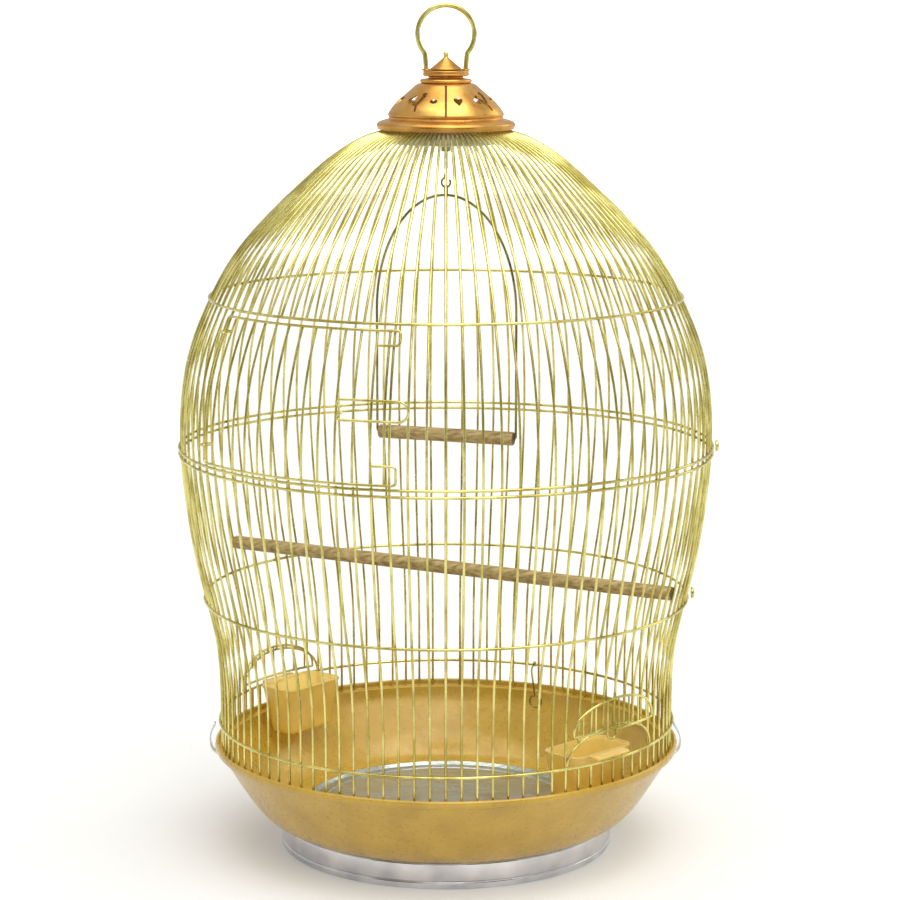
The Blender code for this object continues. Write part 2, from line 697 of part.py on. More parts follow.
def build():
    clear_scene()
    make_material("cutter", (0.5, 0.5, 0.5), 0.0, 0.5)
    brass = make_material("brass_wire", (0.80, 0.72, 0.36), 0.9, 0.3)
    copper = make_material("crown_metal", (0.80, 0.46, 0.16), 0.9, 0.35)
    steel = make_material("plate_metal", (0.62, 0.66, 0.55), 0.8, 0.35)
    wood = make_material("perch_wood", (0.50, 0.34, 0.16), 0.0, 0.6)
    gold_plastic = make_material("tray_plastic", (0.58, 0.38, 0.08), 0.0, 0.2)
    cup_plastic = make_material("cup_plastic", (0.72, 0.53, 0.16), 0.0, 0.15)
    grey_plastic = make_material("foot_plastic", (0.62, 0.62, 0.66), 0.0, 0.3)
    clip_plastic = make_material("clip_plastic", (0.78, 0.80, 0.78), 0.0, 0.2)
    pan_metal = make_material("pan_metal", (0.60, 0.64, 0.58), 0.9, 0.25)

    make_panels(brass)
    make_hoops(brass)
    make_hoop_clips(brass)

    door_hinge = hinge_point(DOOR_HINGE_HEIGHTS["door_hinge_ring_lower"])
    make_door_frame(brass, door_hinge)
    make_door_wires(brass, door_hinge)
    make_door_hinges(brass, door_hinge)
    make_door_latch(brass)

    for side, first in FEEDERS.items():
        make_feeder_door(side, first, brass)
        make_feeder_stubs(side, first, brass)
        make_feeder_cup(side, first, cup_plastic)

    make_perch(wood)
    make_swing_hanger(brass)
    make_hanger_nut(steel)
    link_pivot = Vector((0, 0, EYE_Z - EYE_R + STEM_R + THIN_WIRE_R + GAP))
    swing_pivot = Vector((0, 0, SWING_APEX_Z))
    make_swing_link(brass, link_pivot)
    make_swing_wire(brass, swing_pivot)
    make_swing_bar(wood, swing_pivot)
    make_back_eye(brass)

    hanger_pivot = Vector((0, 0, HANGER_Z))
    make_top_plate(steel)
    make_crown(copper)
    make_collars(copper, hanger_pivot)
    make_finial(copper, hanger_pivot)
    make_hanging_ring(brass, hanger_pivot)

    make_tray(gold_plastic)
    make_floor_pan(pan_metal, Vector((0, 0, TRAY_FLOOR)))
    make_foot(grey_plastic)
    make_rim_clip("rim_clip_left", -1, RIM_CLIP_SWING, clip_plastic)
    make_rim_clip("rim_clip_right", 1, 0.0, clip_plastic)


build()
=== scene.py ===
"""Looks of the round dome bird cage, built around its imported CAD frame.

Lengths are in millimetres and angles in degrees; MM turns them into Blender's metres.
Angles about the cage's axis start at the front (-Y) and are positive towards +X.
"""

import math

import bmesh
import bpy
from mathutils import Matrix, Vector


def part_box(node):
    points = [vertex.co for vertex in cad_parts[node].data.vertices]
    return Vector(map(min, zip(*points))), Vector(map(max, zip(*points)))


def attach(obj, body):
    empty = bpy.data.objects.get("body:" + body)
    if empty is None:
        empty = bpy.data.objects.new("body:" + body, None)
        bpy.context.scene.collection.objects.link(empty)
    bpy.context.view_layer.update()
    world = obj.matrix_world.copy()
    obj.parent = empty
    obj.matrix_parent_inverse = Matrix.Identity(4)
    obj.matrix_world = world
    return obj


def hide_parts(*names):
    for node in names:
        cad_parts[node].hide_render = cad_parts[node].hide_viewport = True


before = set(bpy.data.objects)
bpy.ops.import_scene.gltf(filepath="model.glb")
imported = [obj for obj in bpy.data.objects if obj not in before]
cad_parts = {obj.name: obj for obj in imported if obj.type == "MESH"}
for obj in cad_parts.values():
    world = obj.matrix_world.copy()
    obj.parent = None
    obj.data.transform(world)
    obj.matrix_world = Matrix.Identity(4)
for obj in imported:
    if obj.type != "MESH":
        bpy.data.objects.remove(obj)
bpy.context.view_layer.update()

MM = 0.001


def box_mm(node):
    """Lowest and highest corner of a CAD node, in millimetres."""
    low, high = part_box(node)
    return low / MM, high / MM


def middle_z(node):
    low, high = box_mm(node)
    return (low.z + high.z) / 2


# --- Driving dimensions -------------------------------------------------------------------------

# The route of every shell wire, as (radius, height), which a smooth curve follows.
SHELL_BENDS = (
    (166.4, 76.0),
    (168.5, 150.0),
    (184.8, 225.0),
    (193.2, 298.0),
    (188.8, 358.0),
    (170.8, 408.0),
    (144.5, 450.0),
    (94.5, 500.0),
    (65.0, 521.0),
    (42.0, 529.4),
)
WIRE_COUNT = 96
WIRE_PITCH = 360.0 / WIRE_COUNT
WIRE_R = 0.9
WIRES_PER_PANEL = 12
FIRST_WIRE = 4
HOOP_R = 1.0
WELD_SINK = 0.3  # how far crossing wires are pressed into each other
HOOP_OUTSET = WIRE_R + HOOP_R - WELD_SINK
THIN_WIRE_R = 0.7
HOOPS = ("hoop_shoulder", "hoop_middle_upper", "hoop_middle_lower", "hoop_waist", "hoop_base")

DOOR_STANDOFF = 3.4
DOOR_BAR_STANDOFF = DOOR_STANDOFF - 1.5  # the door's bars lie inside its rails
DOOR_RIGHT = 3.25  # places along the door are in wire pitches
DOOR_LEFT = 15.75
DOOR_HOOK_END = 2.6
DOOR_HOOK_BACK = 3.87
UPPER_HOOK_DROP = 9.5
LOWER_HOOK_RISE = 13.0
DOOR_HINGE_WIRE = 16
# The straight line that the door turns on, from ring to ring, as (radius, height).
DOOR_HINGE_AXIS = ((191.8, 316.3), (175.8, 394.3))
HINGE_LOOP_R = 3.1  # wide enough for the shell wire, which bows away from that line
PITCH_MM = 12.7

# Each entry is the first of the seven wires that a feeder opening cuts.
FEEDERS = {"left": 31, "right": 81}
FEEDER_WIRES = 7
FEEDER_HALF = 4.0  # half the opening's width, in wire pitches
FEEDER_BOTTOM = 97.0
FEEDER_RISE = 22.6
FEEDER_SILL = 2.0  # the door's sill and arch start this far above the opening's bottom
FEEDER_ARCH_START = 3.0
FEEDER_DOOR_LEAN = 0.08
CUP_WIDTH = 60.0
CUP_NEAR, CUP_FAR = 125.3, 159.3  # radii of its inner and outer side
CUP_TAPER = 4.0
CUP_BACK_TAPER = 7.0
CUP_WALL = 1.5
CUP_FLANGE = (34.0, 8.5)  # width, and reach beyond the cup

PERCH_WIRES = (31, 79)
PERCH_ENDS = (210.0, 205.0)  # heights of its left and right ends
PERCH_R = 5.0
SWING_TURN = -20.0
SWING_HALF = 54.0
SWING_SPRING_Z = 398.0
EYE_R = 3.4
STEM_R = 0.8
SHANK_R = 1.3

BACK_HOOK = 54.6  # places of the small eye and its hook
BACK_EYE = 55.3
BACK_EYE_SETBACK = 14.0

CROWN_PANELS = 4
CROWN_CUT_Z = 550.8
SEAM_HALF = 0.8  # half the width of the seam between two panels
RING_WIRE_R = 1.8
RING_R = 20.4
RING_FEET = 14.2  # distance of the hanging ring's feet from the axis

TRAY_FLOOR = 25.5
TRAY_LEDGE = 74.8
RIM_CLIP_PIVOT = (169.6, 65.8)  # radius, height
RIM_CLIP_SWINGS = {"rim_clip_left": 7.0, "rim_clip_right": 0.0}

# The camera, the lights and the stage are placed in metres.
STAGE_CENTRE = Vector((0.0, 0.0, 0.3))
CAMERA_PLACE = (0.0029, -2.05, 0.648)
CAMERA_LENS = 113.4
CAMERA_TILT = 9.765


# --- Geometry helpers ---------------------------------------------------------------------------

def around(turn, radius, height):
    angle = math.radians(turn)
    return Vector((radius * math.sin(angle), -radius * math.cos(angle), height))


def wire_turn(place):
    """Angle of a wire's place: the wires are counted from the front centre towards -X."""
    return -place * WIRE_PITCH


def arc(centre, radius, start, end, steps):
    """Points of an arc in a plane, by angle from the first axis towards the second."""
    turns = [math.radians(start + (end - start) * i / steps) for i in range(steps + 1)]
    return [(centre[0] + radius * math.cos(t), centre[1] + radius * math.sin(t)) for t in turns]


def smooth(points, steps):
    """A Catmull-Rom curve through the points."""
    points = [Vector(p) for p in points]
    curve = []
    for i, (b, c) in enumerate(zip(points, points[1:])):
        a = points[i - 1] if i else 2 * b - c
        d = points[i + 2] if i + 2 < len(points) else 2 * c - b
        for step in range(steps):
            t = step / steps
            curve.append(0.5 * (2 * b + (c - a) * t + (2 * a - 5 * b + 4 * c - d) * t**2
                                + (3 * b - a - 3 * c + d) * t**3))
    curve.append(points[-1])
    return curve


def softened(points, cut, steps=4, closed=False):
    """The same outline with each corner rounded, starting at the distance cut from it."""
    points = [Vector(p) for p in points]
    count = len(points)
    outline = []
    for i, corner in enumerate(points):
        if not closed and i in (0, count - 1):
            outline.append(corner)
            continue
        before, after = points[i - 1] - corner, points[(i + 1) % count] - corner
        start = corner + before.normalized() * min(cut, before.length / 2)
        end = corner + after.normalized() * min(cut, after.length / 2)
        for step in range(steps + 1):
            t = step / steps
            outline.append(start * (1 - t)**2 + corner * 2 * t * (1 - t) + end * t**2)
    return outline


def filled_in(points, spacing):
    """The same polyline with extra points, so that no stretch is longer than the spacing."""
    points = [Vector(p) for p in points]
    path = [points[0]]
    for start, end in zip(points, points[1:]):
        count = max(1, math.ceil((end - start).length / spacing))
        path += [start.lerp(end, i / count) for i in range(1, count + 1)]
    return path


SHELL_CURVE = smooth(SHELL_BENDS, 7)


def shell_radius(height):
    for low, high in zip(SHELL_CURVE, SHELL_CURVE[1:]):
        if height <= high.y:
            return low.x + (high.x - low.x) * (height - low.y) / (high.y - low.y)
    return SHELL_CURVE[-1].x


def on_shell(place, height, standoff=0.0):
    return around(wire_turn(place), shell_radius(height) + standoff, height)


def shell_run(place, low, high):
    """A shell wire's path between two heights."""
    heights = [low, *(p.y for p in SHELL_CURVE if low < p.y < high), high]
    return [on_shell(place, height) for height in heights]


# --- Pieces -------------------------------------------------------------------------------------

MATERIALS = {}
SHARP_ANGLE = 40


def add_piece(name, data, slot, body, replaces=(), finish=None):
    """Links a mesh or curve, gives it its slot's material or a finish, and makes it ride on a body."""
    obj = bpy.data.objects.new(name, data)
    data.materials.append(MATERIALS[finish or slot])
    bpy.context.scene.collection.objects.link(obj)
    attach(obj, body)
    if replaces:
        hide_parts(*replaces)
    return obj


def wires(name, paths, radius, body, replaces=(), closed=False, roundness=3, finish=None):
    """Separate round wires of the cage's brass, one along each path."""
    curve = bpy.data.curves.new(name, "CURVE")
    curve.dimensions = "3D"
    curve.bevel_depth = radius * MM
    curve.bevel_resolution = roundness
    curve.use_fill_caps = True
    for path in paths:
        spline = curve.splines.new("POLY")
        spline.points.add(len(path) - 1)
        for place, point in zip(spline.points, path):
            place.co = (*(Vector(point) * MM), 1.0)
        spline.use_cyclic_u = closed
        spline.use_smooth = True
    return add_piece(name, curve, "brass_wire", body, replaces, finish)


def skin(rings, close_ends=True):
    """A mesh skinned over closed rings of points; a ring of one point is a pole."""
    bm = bmesh.new()
    rows = [[bm.verts.new(Vector(p) * MM) for p in ring] for ring in rings]
    pairs = zip(rows, rows[1:]) if close_ends else zip(rows, rows[1:] + rows[:1])
    for lower, upper in list(pairs):
        count = max(len(lower), len(upper))
        for i in range(count):
            corners = [
                lower[i % len(lower)],
                lower[(i + 1) % len(lower)],
                upper[(i + 1) % len(upper)],
                upper[i % len(upper)],
            ]
            bm.faces.new(list(dict.fromkeys(corners)))
    if close_ends:
        for row in (rows[0], rows[-1]):
            if len(row) > 2:
                bm.faces.new(row)
    bmesh.ops.recalc_face_normals(bm, faces=bm.faces[:])
    return bm


def mesh_piece(name, bm, slot, body, replaces=(), finish=None):
    mesh = bpy.data.meshes.new(name)
    bm.to_mesh(mesh)
    bm.free()
    mesh.shade_smooth()
    mesh.set_sharp_from_angle(angle=math.radians(SHARP_ANGLE))
    return add_piece(name, mesh, slot, body, replaces, finish)


def revolved(profile, steps=144, ring=False):
    """A mesh turned about the cage's axis from (radius, height) points."""
    rings = []
    for radius, height in profile:
        count = steps if radius > 0 else 1
        rings.append([around(360.0 * i / count, radius, height) for i in range(count)])
    return skin(rings, close_ends=not ring)


def cut_out(obj, bm):
    """Cuts a mesh out of a piece, for good."""
    mesh = bpy.data.meshes.new("cutter")
    bm.to_mesh(mesh)
    bm.free()
    tool = bpy.data.objects.new("cutter", mesh)
    bpy.context.scene.collection.objects.link(tool)
    modifier = obj.modifiers.new("cut", "BOOLEAN")
    modifier.operation = "DIFFERENCE"
    modifier.object = tool
    bpy.context.view_layer.update()
    graph = bpy.context.evaluated_depsgraph_get()
    result = bpy.data.meshes.new_from_object(obj.evaluated_get(graph))
    obj.modifiers.clear()
    obj.data = result
    result.set_sharp_from_angle(angle=math.radians(SHARP_ANGLE))
    bpy.data.objects.remove(tool)


# --- Materials ----------------------------------------------------------------------------------

def start_material(slot, metallic, roughness):
    material = bpy.data.materials.new(slot)
    material.use_nodes = True
    shader = material.node_tree.nodes["Principled BSDF"]
    shader.inputs["Metallic"].default_value = metallic
    shader.inputs["Roughness"].default_value = roughness
    MATERIALS[slot] = material
    return material.node_tree, shader


def noise(tree, scale, detail=3.0, stretch=(1, 1, 1), turn=(0, 0, 0)):
    """A noise over the piece, whose scale is in features per metre."""
    coords = tree.nodes.new("ShaderNodeTexCoord")
    mapping = tree.nodes.new("ShaderNodeMapping")
    mapping.inputs["Scale"].default_value = stretch
    mapping.inputs["Rotation"].default_value = [math.radians(a) for a in turn]
    texture = tree.nodes.new("ShaderNodeTexNoise")
    texture.inputs["Scale"].default_value = scale
    texture.inputs["Detail"].default_value = detail
    tree.links.new(coords.outputs["Object"], mapping.inputs["Vector"])
    tree.links.new(mapping.outputs["Vector"], texture.inputs["Vector"])
    return texture.outputs["Fac"]


def ramp(tree, factor, stops):
    """Colours by a factor, from (place, colour) stops."""
    node = tree.nodes.new("ShaderNodeValToRGB")
    tree.links.new(factor, node.inputs["Fac"])
    elements = node.color_ramp.elements
    for element, (place, color) in zip(elements, stops):
        element.position = place
        element.color = (*color, 1.0)
    for place, color in stops[2:]:
        elements.new(place).color = (*color, 1.0)
    return node.outputs["Color"]


def spread(tree, factor, low, high):
    """Maps the middle of a noise to a range of values."""
    node = tree.nodes.new("ShaderNodeMapRange")
    node.inputs["From Min"].default_value = 0.3
    node.inputs["From Max"].default_value = 0.7
    node.inputs["To Min"].default_value = low
    node.inputs["To Max"].default_value = high
    tree.links.new(factor, node.inputs["Value"])
    return node.outputs["Result"]


def bump(tree, shader, height, strength, distance_mm):
    node = tree.nodes.new("ShaderNodeBump")
    node.inputs["Strength"].default_value = strength
    node.inputs["Distance"].default_value = distance_mm * MM
    tree.links.new(height, node.inputs["Height"])
    tree.links.new(node.outputs["Normal"], shader.inputs["Normal"])


def surface(slot, metallic, stops, rough, grain, strength, distance_mm):
    """A material with patchy colour, uneven roughness and a fine grain."""
    tree, shader = start_material(slot, metallic, sum(rough) / 2)
    tree.links.new(ramp(tree, noise(tree, 45.0, 4.0), stops), shader.inputs["Base Color"])
    tree.links.new(spread(tree, noise(tree, 210.0), *rough), shader.inputs["Roughness"])
    bump(tree, shader, noise(tree, grain, 2.0), strength, distance_mm)
    return shader


def make_materials():
    make_brass("brass_wire", (0.46, 0.39, 0.09), (0.80, 0.73, 0.27))
    # painted shade: a darker copy of the wire brass for the wires and small parts inside the cage, which
    # stand in shade
    make_brass("shaded_inner_brass", (0.16, 0.14, 0.03), (0.34, 0.30, 0.08))
    surface("crown_metal", 0.95, [(0.35, (0.50, 0.24, 0.045)), (0.65, (0.75, 0.42, 0.11))],
            (0.26, 0.40), 420.0, 0.2, 0.15)
    # painted shade: a near-black finish that stands in for the shadow inside the crown's seam grooves
    surface("crown_seam_shade_paint", 0.5, [(0.3, (0.07, 0.03, 0.008)), (0.7, (0.14, 0.065, 0.02))],
            (0.4, 0.6), 420.0, 0.2, 0.05)
    surface("plate_metal", 0.7, [(0.3, (0.44, 0.48, 0.38)), (0.7, (0.68, 0.72, 0.60))],
            (0.25, 0.45), 800.0, 0.2, 0.05)
    make_tray_plastic()
    make_cup_plastic()
    surface("foot_plastic", 0.9, [(0.3, (0.50, 0.50, 0.53)), (0.7, (0.78, 0.78, 0.80))],
            (0.08, 0.18), 1100.0, 0.15, 0.04)
    make_clip_plastic()
    make_pan_metal()
    make_wood("perch_wood", (0.20, 0.135, 0.04), (0.36, 0.255, 0.09), (0.50, 0.375, 0.16))
    # end grain, painted darker still as shade on the bars' end faces
    make_wood("end_grain_and_shade", (0.04, 0.022, 0.006), (0.09, 0.05, 0.015), (0.15, 0.09, 0.03))


def make_brass(name, dark, bright):
    """Brass-plated steel wire, with patches of tarnish and a fine grain."""
    surface(name, 0.92, [(0.38, dark), (0.60, bright)], (0.14, 0.32), 900.0, 0.25, 0.05)


def make_tray_plastic():
    """Gold plastic with a fine metallic fleck under a clear gloss."""
    shader = surface("tray_plastic", 0.12, [(0.3, (0.43, 0.26, 0.026)), (0.7, (0.53, 0.335, 0.040))],
                     (0.24, 0.36), 1500.0, 0.12, 0.03)
    shader.inputs["Coat Weight"].default_value = 0.3
    shader.inputs["Coat Roughness"].default_value = 0.06


def make_cup_plastic():
    """Translucent amber plastic."""
    shader = surface("cup_plastic", 0.0, [(0.3, (0.90, 0.68, 0.18)), (0.7, (0.97, 0.78, 0.27))],
                     (0.06, 0.14), 700.0, 0.1, 0.05)
    shader.inputs["Transmission Weight"].default_value = 0.55
    shader.inputs["IOR"].default_value = 1.46


def make_clip_plastic():
    """Nearly clear plastic with a faint grey-green tint."""
    shader = surface("clip_plastic", 0.0, [(0.3, (0.72, 0.76, 0.74)), (0.7, (0.88, 0.90, 0.88))],
                     (0.05, 0.12), 900.0, 0.1, 0.04)
    shader.inputs["Transmission Weight"].default_value = 0.7
    shader.inputs["IOR"].default_value = 1.46


def make_pan_metal():
    """Bright sheet metal with fine scratches one way and a few dull patches."""
    tree, shader = start_material("pan_metal", 0.9, 0.3)
    scratches = noise(tree, 60.0, 6.0, stretch=(1, 40, 1), turn=(0, 0, 25))
    color = ramp(tree, scratches, [(0.3, (0.26, 0.30, 0.26)), (0.7, (0.66, 0.68, 0.66))])
    tree.links.new(color, shader.inputs["Base Color"])
    tree.links.new(spread(tree, noise(tree, 35.0, 4.0), 0.10, 0.34), shader.inputs["Roughness"])
    bump(tree, shader, scratches, 0.3, 0.05)


def make_wood(name, dark, middle, pale):
    """Turned wood, with its grain along both bars, which lie nearly the same way."""
    tree, shader = start_material(name, 0.0, 0.55)
    grain = noise(tree, 30.0, 5.0, stretch=(1, 14, 14), turn=(0, 0, -SWING_TURN))
    color = ramp(tree, grain, [(0.32, dark), (0.5, middle), (0.68, pale)])
    tree.links.new(color, shader.inputs["Base Color"])
    tree.links.new(spread(tree, noise(tree, 300.0), 0.42, 0.68), shader.inputs["Roughness"])
    bump(tree, shader, grain, 0.35, 0.2)


# --- Shell --------------------------------------------------------------------------------------

def feeder_middle(first):
    return first + (FEEDER_WIRES - 1) / 2


def feeder_edge(place, first):
    """Height of the arched opening's edge at a place."""
    offset = (place - feeder_middle(first)) / FEEDER_HALF
    return FEEDER_BOTTOM + FEEDER_RISE * math.sqrt(max(0.0, 1 - offset**2))


def wire_foot(index, lowest):
    for first in FEEDERS.values():
        if first <= index < first + FEEDER_WIRES:
            return feeder_edge(index, first)
    return lowest


def make_shell():
    """Ninety-six separate wires in eight groups, each for one column of CAD panels."""
    lowest = box_mm("skirt_wires_1")[0].z
    highest = SHELL_BENDS[-1][1]
    doorway = (box_mm("hoop_middle_upper")[1].z, box_mm("hoop_shoulder")[0].z)
    for sector in range(WIRE_COUNT // WIRES_PER_PANEL):
        first = FIRST_WIRE + sector * WIRES_PER_PANEL
        paths = []
        for index in range(first, first + WIRES_PER_PANEL):
            foot = wire_foot(index, lowest)
            if sector == 0:
                paths.append(shell_run(index, foot, doorway[0]))
                paths.append(shell_run(index, doorway[1], highest))
            else:
                paths.append(shell_run(index, foot, highest))
        rows = ("skirt", "dome") if sector == 0 else ("skirt", "waist", "dome")
        nodes = [f"{row}_wires_{sector + 1}" for row in rows]
        wires(f"shell_wires_{sector + 1}", paths, WIRE_R, "cage", nodes)


def make_hoops():
    for node in HOOPS:
        height = middle_z(node)
        radius = shell_radius(height) + HOOP_OUTSET
        path = [around(360.0 * i / 192, radius, height) for i in range(192)]
        wires(f"{node}_wire", [path], HOOP_R, "cage", [node], closed=True)


def make_hoop_clips():
    """Pressed metal clips with a rounded face, over the hoops' meeting ends."""
    for node in ("hoop_clip_middle", "hoop_clip_waist"):
        low, high = box_mm(node)
        centre = (low + high) / 2
        size = (high.z - low.z) / 2
        depth = high.x - low.x
        rings = []
        face = [(0, 0.72), (0, 0.98), (0.35, 1.0), (0.75, 0.9), (1.0, 0.45), (1.0, 0.02)]
        for reach, scale in softened(face, 0.2):
            outline = arc((centre.y, centre.z), size * scale, 0, 360, 32)[:-1]
            rings.append([(low.x + depth * reach, y, z) for y, z in outline])
        mesh_piece(f"{node}_cap", skin(rings), "brass_wire", "cage", [node])


# --- Main door ----------------------------------------------------------------------------------

def door_path(outline, cut=3.0, standoff=DOOR_STANDOFF):
    """A rounded outline in (millimetres along the door, height), laid on the door's curve."""
    path = filled_in(softened(outline, cut), 4.0)
    return [on_shell(u / PITCH_MM, height, standoff) for u, height in path]


def make_door():
    """The stiles and rails; each rail runs past the right stile and returns as a hook."""
    low, high = box_mm("door_frame")
    bottom, top = low.z + WIRE_R, high.z - WIRE_R
    left, right = DOOR_LEFT * PITCH_MM, DOOR_RIGHT * PITCH_MM
    end, back = DOOR_HOOK_END * PITCH_MM, DOOR_HOOK_BACK * PITCH_MM
    top_hook, low_hook = top - UPPER_HOOK_DROP, bottom + LOWER_HOOK_RISE
    frame_wire = [(back, top_hook), (end, top_hook), (end, top), (left, top)]
    frame_wire += [(left, bottom), (end, bottom), (end, low_hook), (back, low_hook)]
    stile = [(right, bottom), (right, top)]
    paths = [door_path(frame_wire), door_path(stile, standoff=DOOR_BAR_STANDOFF)]
    wires("door_frame_wires", paths, WIRE_R, "main_door", ["door_frame"])
    bars = []
    for index in range(FIRST_WIRE, FIRST_WIRE + WIRES_PER_PANEL):
        bar = [(index * PITCH_MM, bottom - 0.5), (index * PITCH_MM, top + 0.5)]
        bars.append(door_path(bar, standoff=DOOR_BAR_STANDOFF))
    wires("door_bars", bars, WIRE_R, "main_door", ["door_wires"])


def make_door_hinges():
    """Rings that hold the door's left stile, each with a wider loop around the shell wire beside it."""
    lower, upper = [around(wire_turn(DOOR_HINGE_WIRE), *point) for point in DOOR_HINGE_AXIS]
    upright = (upper - lower).normalized()
    for node, post in (("door_hinge_ring_lower", lower), ("door_hinge_ring_upper", upper)):
        stile = on_shell(DOOR_LEFT, post.z, DOOR_STANDOFF)
        reach = (stile - post).length
        across = (stile - post).normalized()
        sideways = upright.cross(across).normalized()
        outline = arc((0, 0), HINGE_LOOP_R, 90, 270, 14) + arc((reach, 0), 2.0, -90, 90, 12)
        path = [post + across * u + sideways * v for u, v in outline]
        wires(f"{node}_wire", [path], THIN_WIRE_R, "main_door", [node], closed=True)


def make_door_latch():
    """A hairpin of wire that slides across the right stile; its two ends are curled."""
    low, high = box_mm("door_latch")
    middle = (low + high) / 2
    half = (high.z - low.z) / 2 - WIRE_R
    along = Vector((high.x - low.x, low.y - high.y, 0))
    reach = along.length / 2 - WIRE_R
    side = along.normalized()
    curl = 2.4
    upper = arc((-reach + curl, half - curl), curl, 300, 90, 10)
    nose = arc((reach - half, 0), half, 90, -90, 14)
    lower = [(u, -v) for u, v in reversed(upper)]
    path = [middle + side * u + Vector((0, 0, v)) for u, v in upper + nose + lower]
    wires("door_latch_wire", [path], WIRE_R, "door_latch", ["door_latch"])


# --- Feeders ------------------------------------------------------------------------------------

def make_feeder_openings():
    """The arched edge wire of each opening, and the stubs of the wires that it cuts."""
    for side, first in FEEDERS.items():
        middle = feeder_middle(first)
        path = []
        for i in range(33):
            place = middle + FEEDER_HALF * math.cos(math.pi * i / 32)
            path.append(on_shell(place, feeder_edge(place, first), HOOP_OUTSET))
        wires(f"feeder_arch_{side}", [path], WIRE_R, "cage")
        node = f"feeder_stubs_{side}"
        low, high = box_mm(node)
        stubs = [shell_run(first + i, low.z, high.z) for i in range(FEEDER_WIRES)]
        wires(f"{node}_wires", stubs, WIRE_R, "cage", [node])


def make_feeder_doors():
    """Small sliding gates: an arched frame, its bars and a finger loop under the sill."""
    reach = FEEDER_HALF - 0.3
    sill = FEEDER_BOTTOM + FEEDER_SILL
    spring = sill + FEEDER_ARCH_START
    rise = FEEDER_RISE - FEEDER_ARCH_START
    for side, first in FEEDERS.items():
        node = f"feeder_door_{side}"
        middle = feeder_middle(first)
        slide = around(wire_turn(middle), FEEDER_DOOR_LEAN, 1.0)
        raised = slide * (box_mm(node)[0].z + WIRE_R - sill)

        arch = [(middle + reach * u, spring + rise * v) for u, v in arc((0, 0), 1.0, 0, 180, 32)]
        outline = [(middle - reach, sill), (middle + reach, sill), *arch, (middle - reach, sill)]
        in_mm = filled_in([(place * PITCH_MM, height) for place, height in outline], 4.0)
        frame_path = [on_shell(u / PITCH_MM, height, DOOR_STANDOFF) + raised for u, height in in_mm[:-1]]
        wires(f"{node}_frame", [frame_path], WIRE_R, node, [node], closed=True)
        bars = []
        for place in range(first, first + FEEDER_WIRES):
            top = spring + rise * math.sqrt(1 - ((place - middle) / reach) ** 2)
            heights = (sill, (sill + top) / 2, top)
            bars.append([on_shell(place, height, DOOR_STANDOFF) + raised for height in heights])
        wires(f"{node}_bars", bars, THIN_WIRE_R, node)
        loop_place = middle + 0.75
        loop = []
        for u, v in arc((0, 0), 1.0, 0, -180, 16):
            loop.append(on_shell(loop_place + 0.42 * u, sill + 6.0 * v, DOOR_STANDOFF + 1.5) + raised)
        wires(f"{node}_loop", [loop], WIRE_R, node)


def rounded_box(turn, near, far, width, corner, height):
    """A horizontal outline with rounded corners, from radius near to far in a direction."""
    outward, along = around(turn, 1.0, 0.0), around(turn + 90, 1.0, 0.0)
    half = width / 2 - corner
    corners = ((far - corner, half, 0), (near + corner, half, 90))
    corners += ((near + corner, -half, 180), (far - corner, -half, 270))
    points = []
    for out, side, start in corners:
        for u, v in arc((out, side), corner, start, start + 90, 6):
            points.append(outward * u + along * v + Vector((0, 0, height)))
    return points


def cup_ring(turn, part, height, inset):
    """A cup's outline at a part of its height, moved inwards by an inset."""
    near = CUP_NEAR + CUP_TAPER * (1 - part) + inset
    far = CUP_FAR - CUP_BACK_TAPER * (1 - part) - inset
    width = CUP_WIDTH - 2 * CUP_TAPER * (1 - part) - 2 * inset
    corner = max(1.5, 7.5 - 0.6 * inset)
    return rounded_box(turn, near, far, width, corner, height)


def make_feeder_cups():
    """Tapered cups of thin plastic with a rounded bottom edge, a lip and a hanging flange."""
    for side, first in FEEDERS.items():
        node = f"feeder_cup_{side}"
        turn = wire_turn(feeder_middle(first))
        low, high = box_mm(node)
        outside = [(0.0, 4.0), (0.6, 1.6), (2.2, 0.3), (4.5, 0.0)]
        lip = [(-2.4, 0.0), (-2.0, -0.5), (-0.6, -0.6), (0.0, 0.0), (0.0, CUP_WALL - 0.4), (-0.8, CUP_WALL)]
        inside = [(5.0, CUP_WALL), (2.4, CUP_WALL + 1.0), (CUP_WALL, CUP_WALL + 3.5)]
        steps = [(low.z + rise, inset) for rise, inset in outside]
        steps += [(high.z + rise, inset) for rise, inset in lip]
        steps += [(low.z + rise, inset) for rise, inset in inside]
        rings = []
        for height, inset in steps:
            part = (height - low.z) / (high.z - low.z)
            rings.append(cup_ring(turn, part, height, inset))
        mesh_piece(f"{node}_shell", skin(rings), "cup_plastic", node, [node])
        width, reach = CUP_FLANGE
        flange = []
        for drop, inset in ((2.6, 0.4), (2.2, 0.0), (1.0, 0.0), (0.6, 0.4)):
            flange.append(rounded_box(turn, CUP_FAR - 0.7 + inset, CUP_FAR + reach - inset,
                                      width - 2 * inset, 1.5, high.z - drop))
        mesh_piece(f"{node}_flange", skin(flange), "cup_plastic", node)


# --- Perch and swing ----------------------------------------------------------------------------

def turned_rod(start, end, profile, steps=28):
    """Rings of a round rod between two points, from (reach, radius) points."""
    direction = (end - start).normalized()
    side = direction.cross(Vector((0, 0, 1))).normalized()
    upward = side.cross(direction)
    rings = []
    for reach, radius in profile:
        outline = arc((0, 0), radius, 0, 360, steps)[:-1]
        rings.append([start + direction * reach + side * u + upward * v for u, v in outline])
    return rings


def darken_ends(bar, direction):
    """Gives the faces that look along a bar the darker end grain, darkened further with painted shade."""
    bar.data.materials.append(MATERIALS["end_grain_and_shade"])
    for face in bar.data.polygons:
        if abs(face.normal.dot(direction)) > 0.8:
            face.material_index = 1


